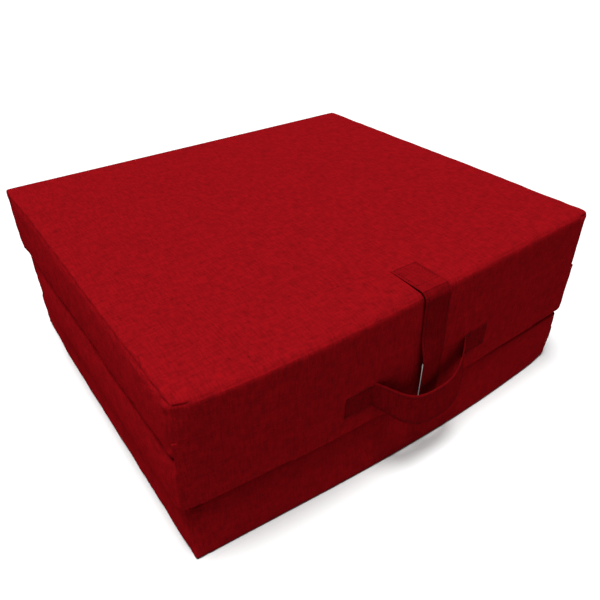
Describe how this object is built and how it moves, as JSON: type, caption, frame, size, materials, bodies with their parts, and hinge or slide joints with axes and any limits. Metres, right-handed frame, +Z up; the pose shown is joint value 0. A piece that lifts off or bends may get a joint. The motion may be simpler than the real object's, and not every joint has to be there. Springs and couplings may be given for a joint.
{
  "type": "folding guest mattress",
  "caption": "Tri-fold foam guest mattress in a woven zipped cover, folded into a block and held by a fold-over closing strap, with a carrying handle.",
  "frame": {"origin": "centre of the lower panel's underside, on the surface the folded mattress lies on", "axes": "+X across the mattress to the zip side, -Y out of the handle side, +Z up through the folded stack"},
  "size_m": [0.7093, 0.6737, 0.2759],
  "materials": {
    "cover_cloth": "heathered flat-weave upholstery cloth, matt",
    "foam": "open-cell polyurethane foam",
    "hook_tape": "white hook tape",
    "loop_tape": "brushed loop tape",
    "zip_tape": "woven zip tape",
    "zip_coil": "moulded nylon coil",
    "zip_metal": "lacquered die-cast zinc"
  },
  "bodies": {
    "lower_panel": {"lower_foam_core": "foam", "lower_bottom_sheet": "cover_cloth", "lower_top_sheet": "cover_cloth", "lower_front_band": "cover_cloth", "lower_back_band": "cover_cloth", "lower_left_band": "cover_cloth", "lower_right_band_above_zip": "cover_cloth", "lower_right_band_below_zip": "cover_cloth", "lower_zip_tape": "zip_tape", "lower_zip_coil": "zip_coil", "lower_zip_stops": "zip_metal", "lower_back_hinge_cloth": "cover_cloth", "loop_backing_patch": "cover_cloth", "loop_fastener_pad": "loop_tape"},
    "middle_panel": {"middle_foam_core": "foam", "middle_bottom_sheet": "cover_cloth", "middle_top_sheet": "cover_cloth", "middle_front_band": "cover_cloth", "middle_back_band": "cover_cloth", "middle_left_band": "cover_cloth", "middle_right_band_above_zip": "cover_cloth", "middle_right_band_below_zip": "cover_cloth", "middle_zip_tape": "zip_tape", "middle_zip_coil": "zip_coil", "middle_zip_stops": "zip_metal", "middle_back_hinge_cloth": "cover_cloth", "middle_front_hinge_cloth": "cover_cloth", "handle_left_sewn_end": "cover_cloth", "handle_right_sewn_end": "cover_cloth"},
    "upper_panel": {"upper_foam_core": "foam", "upper_bottom_sheet": "cover_cloth", "upper_top_sheet": "cover_cloth", "upper_front_band": "cover_cloth", "upper_back_band": "cover_cloth", "upper_left_band": "cover_cloth", "upper_right_band_above_zip": "cover_cloth", "upper_right_band_below_zip": "cover_cloth", "upper_zip_tape": "zip_tape", "upper_zip_coil": "zip_coil", "upper_zip_stops": "zip_metal", "upper_front_hinge_cloth": "cover_cloth", "strap_sewn_patch": "cover_cloth"},
    "carry_handle": {"handle_loop": "cover_cloth"},
    "strap_run": {"strap_edge_run": "cover_cloth"},
    "strap_tail": {"strap_tail": "cover_cloth", "hook_fastener_strip": "hook_tape"},
    "lower_slider": {"lower_zip_slider": "zip_metal"},
    "lower_pull": {"lower_zip_pull": "zip_metal"},
    "middle_slider": {"middle_zip_slider": "zip_metal"},
    "middle_pull": {"middle_zip_pull": "zip_metal"},
    "upper_slider": {"upper_zip_slider": "zip_metal"},
    "upper_pull": {"upper_zip_pull": "zip_metal"}
  },
  "joints": [
    {"name": "middle_fold", "type": "hinge", "parent": "lower_panel", "child": "middle_panel", "pos_m": [0, 0.319, 0.091], "axis": [-1, 0, 0], "range_deg": [0, 179.8]},
    {"name": "upper_fold", "type": "hinge", "parent": "middle_panel", "child": "upper_panel", "pos_m": [0, -0.319, 0.183], "axis": [1, 0, 0], "range_deg": [0, 179.8], "deforming": ["handle_loop"]},
    {"name": "handle_lift", "type": "hinge", "parent": "middle_panel", "child": "carry_handle", "pos_m": [0.005, -0.3163, 0.17], "axis": [1, 0, 0], "range_deg": [-100, 0]},
    {"name": "strap_lift", "type": "hinge", "parent": "upper_panel", "child": "strap_run", "pos_m": [0.017, -0.298, 0.2762], "axis": [1, 0, 0], "range_deg": [-178.2, 0]},
    {"name": "strap_swing", "type": "hinge", "parent": "strap_run", "child": "strap_tail", "pos_m": [0.017, -0.3212, 0.2762], "axis": [1, 0, 0], "range_deg": [-92.2, 0]},
    {"name": "lower_zip_slide", "type": "slide", "parent": "lower_panel", "child": "lower_slider", "axis": [0, 1, 0], "range_m": [0, 0.546]},
    {"name": "lower_pull_flip", "type": "hinge", "parent": "lower_slider", "child": "lower_pull", "pos_m": [0.3575, -0.273, 0.045], "axis": [0, 0, -1], "range_deg": [0, 178]},
    {"name": "middle_zip_slide", "type": "slide", "parent": "middle_panel", "child": "middle_slider", "axis": [0, 1, 0], "range_m": [0, 0.546]},
    {"name": "middle_pull_flip", "type": "hinge", "parent": "middle_slider", "child": "middle_pull", "pos_m": [0.3575, -0.273, 0.137], "axis": [0, 0, -1], "range_deg": [0, 178]},
    {"name": "upper_zip_slide", "type": "slide", "parent": "upper_panel", "child": "upper_slider", "axis": [0, 1, 0], "range_m": [0, 0.546]},
    {"name": "upper_pull_flip", "type": "hinge", "parent": "upper_slider", "child": "upper_pull", "pos_m": [0.3575, -0.273, 0.229], "axis": [0, 0, -1], "range_deg": [0, 178]}
  ],
  "couplings": [
    {"joint": "strap_lift", "follows": "upper_fold", "ratio": -0.99},
    {"joint": "strap_swing", "follows": "upper_fold", "ratio": -0.512}
  ]
}
